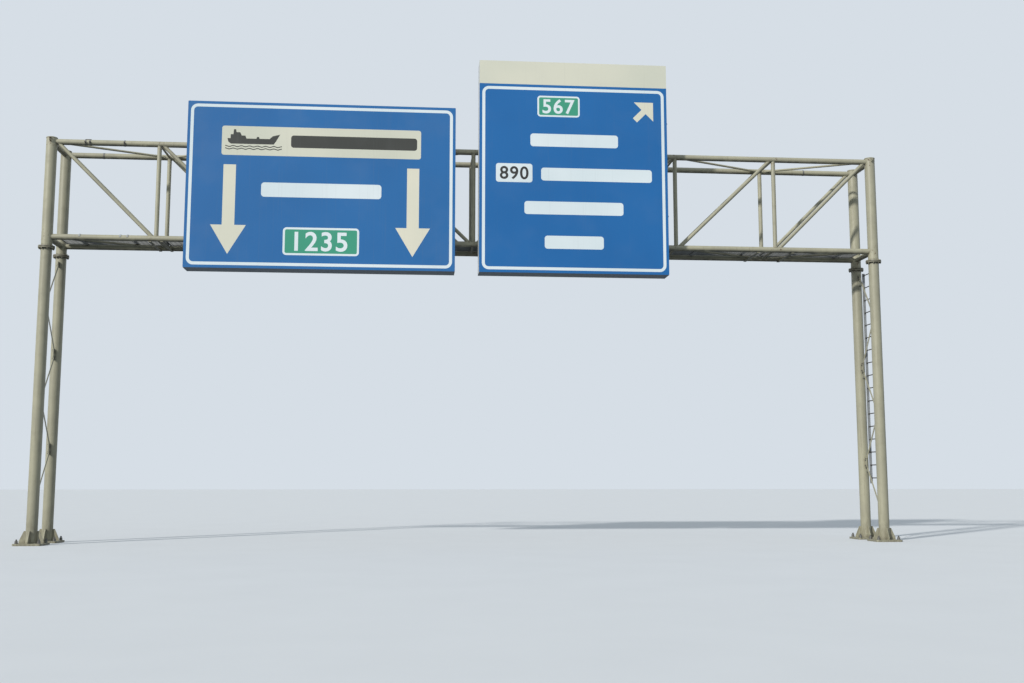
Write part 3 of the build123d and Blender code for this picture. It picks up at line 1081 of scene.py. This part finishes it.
# Toggle catches on the right-hand box, measured out of the wall, along it and up it
CATCH_HEIGHTS = (6.77, 8.77)
CATCH_INSET = 0.07
CATCH_BEVEL = 0.0008
CATCH_PLATE = ((0, -0.05, -0.022), (0.003, 0.05, 0.022))
CATCH_LEVER = ((0.003, -0.020, -0.014), (0.012, 0.044, 0.014))
CATCH_RODS = (
    ((0.009, -0.020, 0), (0.009, -0.052, 0), 0.0045),
    ((0.009, -0.050, -0.014), (0.009, -0.050, 0.014), 0.004),
)


def catches():
    """On the outer wall of the box: a plate, a lever, a rod and its hook."""
    parts = Parts()
    low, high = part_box("right_sign_sides")
    for z in CATCH_HEIGHTS:
        place = at(high.x, low.y + CATCH_INSET, z)
        for corners in (CATCH_PLATE, CATCH_LEVER):
            parts.add(slab(*corners), place)
        for start, end, radius in CATCH_RODS:
            parts.add(swept([start, end], radius, ROD_SIDES), place)
    parts.piece("box_catches", fastener, ZINC_SLOT, bevel=CATCH_BEVEL)


# Fine grating of the walkway: bearing bars along the span and cross rods
BAR_PITCH = 0.041
BAR_THICKNESS = 0.003
BAR_HEIGHT = 0.025
CROSS_PITCH = 0.10
CROSS_HALF = 0.003
RIM = 0.004
PANEL_GAP = 0.010
TOE_BOARD = 0.10
TOE_THICKNESS = 0.004
TOE_LIP = 0.014
BEARER_SHARES = (0.25, 0.75)
BEARER_HALF = 0.031


def walkway_mesh():
    parts = Parts()
    low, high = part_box("walkway_grating")
    pitch = (high.x - low.x + PANEL_GAP) / bay_count
    bars = round((high.y - low.y) / BAR_PITCH)
    top = low.z + BAR_HEIGHT
    for panel in range(bay_count):
        left = low.x + panel * pitch
        right = left + pitch - PANEL_GAP
        for y in spread(low.y + RIM / 2, high.y - RIM / 2, bars + 1):
            parts.add(slab((left, y - BAR_THICKNESS / 2, low.z), (right, y + BAR_THICKNESS / 2, top)))
        for x in (left, right - RIM):
            parts.add(slab((x, low.y, low.z), (x + RIM, high.y, top)))
        parts.add(slab((left, high.y, low.z), (right, high.y + TOE_THICKNESS, low.z + TOE_BOARD)))
        bearers = [node_x[panel] + share * bay for share in BEARER_SHARES]
        starts = [left] + [x + BEARER_HALF for x in bearers]
        ends = [x - BEARER_HALF for x in bearers] + [right]
        for start, end in zip(starts, ends):
            parts.add(slab((start, high.y, low.z - TOE_LIP), (end, high.y + TOE_THICKNESS, low.z)))
        for x in spread(left + CROSS_PITCH / 2, right - CROSS_PITCH / 2, round(pitch / CROSS_PITCH)):
            rod = [(x, low.y + RIM, top - CROSS_HALF), (x, high.y - RIM, top - CROSS_HALF)]
            parts.add(swept(rod, CROSS_HALF, 4))
    mesh = parts.piece("walkway_mesh", zinc, ZINC_SLOT)
    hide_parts("walkway_grating")


# Clamps round the top chords and small clips on the front bottom chord
CLAMP_WIDTH = 0.030
CLAMP_THICKNESS = 0.004
CLAMP_STEPS = 32
CLAMPS = (("front", -7.245), ("front", -7.94), ("front", -8.03), ("back", -7.918), ("back", 7.553))
CLAMP_EAR = 0.030
EAR_GAP = 0.004
EAR_ROOT = 0.001
CLAMP_BOLT = 0.010
STAPLE = (-8.045, -7.925)
STAPLE_HALF = 0.02
STAPLE_HEIGHT = 0.006
CLIPS = (-8.064, -7.254, -7.109)
CLIP_ARC = (radians(70), radians(170), 9)
CLIP_STANDOFF = 0.005
CLIP_RADIUS = 0.0065
CLIP_STRANDS = (-0.012, 0, 0.012)


def band(inner, outer, half):
    """A flat ring about X, between two radii and as far as half its width to each side."""
    points, faces = [], []
    for i, pair in enumerate(zip(circle(inner, CLAMP_STEPS), circle(outer, CLAMP_STEPS))):
        points += [Vector((end, *place)) for place in pair for end in (-half, half)]
        a, b = 4 * i, 4 * ((i + 1) % CLAMP_STEPS)
        for j, k in ((0, 1), (1, 3), (3, 2), (2, 0)):
            faces.append([a + j, a + k, b + k, b + j])
    return points, faces


def chord_clamps():
    """Bands round the chords, closed by a bolt through two ears on the outer side."""
    parts, bolts = Parts(), Parts()
    outer = chord_radius + CLAMP_THICKNESS
    half = CLAMP_WIDTH / 2
    z = chord_z["top"]
    ears = (z - EAR_GAP - CLAMP_THICKNESS, z + EAR_GAP)
    for side, x in CLAMPS:
        y = side_y[side]
        hand = -1 if side == "front" else 1
        parts.add(band(chord_radius, outer, half), at(x, y, z))
        near, far = sorted((y + hand * (chord_radius + EAR_ROOT), y + hand * (outer + CLAMP_EAR)))
        for low in ears:
            parts.add(slab((x - half, near, low), (x + half, far, low + CLAMP_THICKNESS)))
        place = at(x, y + hand * (outer + CLAMP_EAR / 2), ears[0])
        add_bolt(bolts, place, CLAMP_BOLT, 2 * (EAR_GAP + CLAMP_THICKNESS))
    left, right = STAPLE
    top = z + outer
    parts.add(slab((left, front_y - STAPLE_HALF, top), (right, front_y + STAPLE_HALF, top + STAPLE_HEIGHT)))
    parts.piece("chord_clamps", fastener, ZINC_SLOT, smooth=50.0)
    bolts.piece("clamp_bolts", fastener, ZINC_SLOT)


def chord_clips():
    """Pale cable clips that hug the upper front of the front bottom chord."""
    parts = Parts()
    reach = chord_radius + CLIP_STANDOFF
    for x in CLIPS:
        for step in CLIP_STRANDS:
            arc = [
                (x + step, front_y + reach * cos(angle), chord_z["bottom"] + reach * sin(angle))
                for angle in spread(*CLIP_ARC)
            ]
            parts.add(swept(arc, CLIP_RADIUS, ROD_SIDES))
    parts.piece("chord_clips", casing, CASING_SLOT)


flange_bolts()
anchor_nuts()
lacing_bolts()
u_bolts()
rail_bolts()
back_strips()
side_rivets()
catches()
walkway_mesh()
chord_clamps()
chord_clips()


# Lights, floor and camera
SUN_AZIMUTH = 43.5
SUN_ELEVATION = 28.5
SUN_STRENGTH = 2.85
SUN_SPREAD = 3.0
SUN_COLOUR = (1.0, 0.965, 0.915)
SKY_COLOUR = (0.84, 0.93, 1.0, 1.0)
SKY_STRENGTH = 0.5
BACKDROP = srgb(214, 222, 230)
FLOOR_BOUNCE = srgb(108, 111, 114)
FLOOR_RADIUS = 160.0


def light_scene():
    """A low sun and a plain world: camera and glossy rays see the backdrop, all others the sky."""
    sun_data = bpy.data.lights.new("sun", "SUN")
    sun_data.energy = SUN_STRENGTH
    sun_data.angle = radians(SUN_SPREAD)
    sun_data.color = SUN_COLOUR
    sun = placed("sun", sun_data)
    sun.rotation_euler = (radians(90 - SUN_ELEVATION), 0, radians(-SUN_AZIMUTH))

    world = bpy.data.worlds.new("studio")
    bpy.context.scene.world = world
    world.use_nodes = True
    nodes, links = world.node_tree.nodes, world.node_tree.links
    nodes.clear()
    kinds = ("LightPath", "Math", "Background", "Background", "MixShader", "OutputWorld")
    path, seen, lit, shown, mix, out = (nodes.new(f"ShaderNode{kind}") for kind in kinds)
    seen.operation = "MAXIMUM"
    lit.inputs["Color"].default_value = SKY_COLOUR
    lit.inputs["Strength"].default_value = SKY_STRENGTH
    shown.inputs["Color"].default_value = BACKDROP
    links.new(path.outputs["Is Camera Ray"], seen.inputs[0])
    links.new(path.outputs["Is Glossy Ray"], seen.inputs[1])
    for source, socket in zip((seen, lit, shown), mix.inputs):
        links.new(source.outputs[0], socket)
    links.new(mix.outputs[0], out.inputs["Surface"])


def lay_floor():
    f = Finish("pale_floor")
    pale = f.blend(f.noise(0.8), srgb(216, 220, 224), srgb(222, 226, 230))
    seen = f.add("ShaderNodeLightPath").outputs["Is Camera Ray"]
    f.colour = f.blend(seen, FLOOR_BOUNCE, pale)
    finish = f.finish(0.9, f.bump(f.noise(40.0), 0.001))
    mesh = bpy.data.meshes.new("floor")
    corners = [(-1, -1, 0), (1, -1, 0), (1, 1, 0), (-1, 1, 0)]
    mesh.from_pydata([Vector(corner) * FLOOR_RADIUS for corner in corners], [], [[0, 1, 2, 3]])
    mesh.materials.append(finish)
    floor = placed("floor", mesh)


def set_camera():
    data = bpy.data.cameras.new("camera")
    data.sensor_width = SENSOR_WIDTH
    data.lens = FOCAL_PIXELS / IMAGE_WIDTH * SENSOR_WIDTH
    data.clip_end = CLIP_END
    camera = placed("camera", data)
    camera.location = CAMERA_PLACE
    camera.rotation_euler = (radians(90 + CAMERA_PITCH), 0, radians(-CAMERA_YAW))
    bpy.context.scene.camera = camera


set_camera()
light_scene()
lay_floor()
bpy.context.scene.view_settings.view_transform = "Standard"
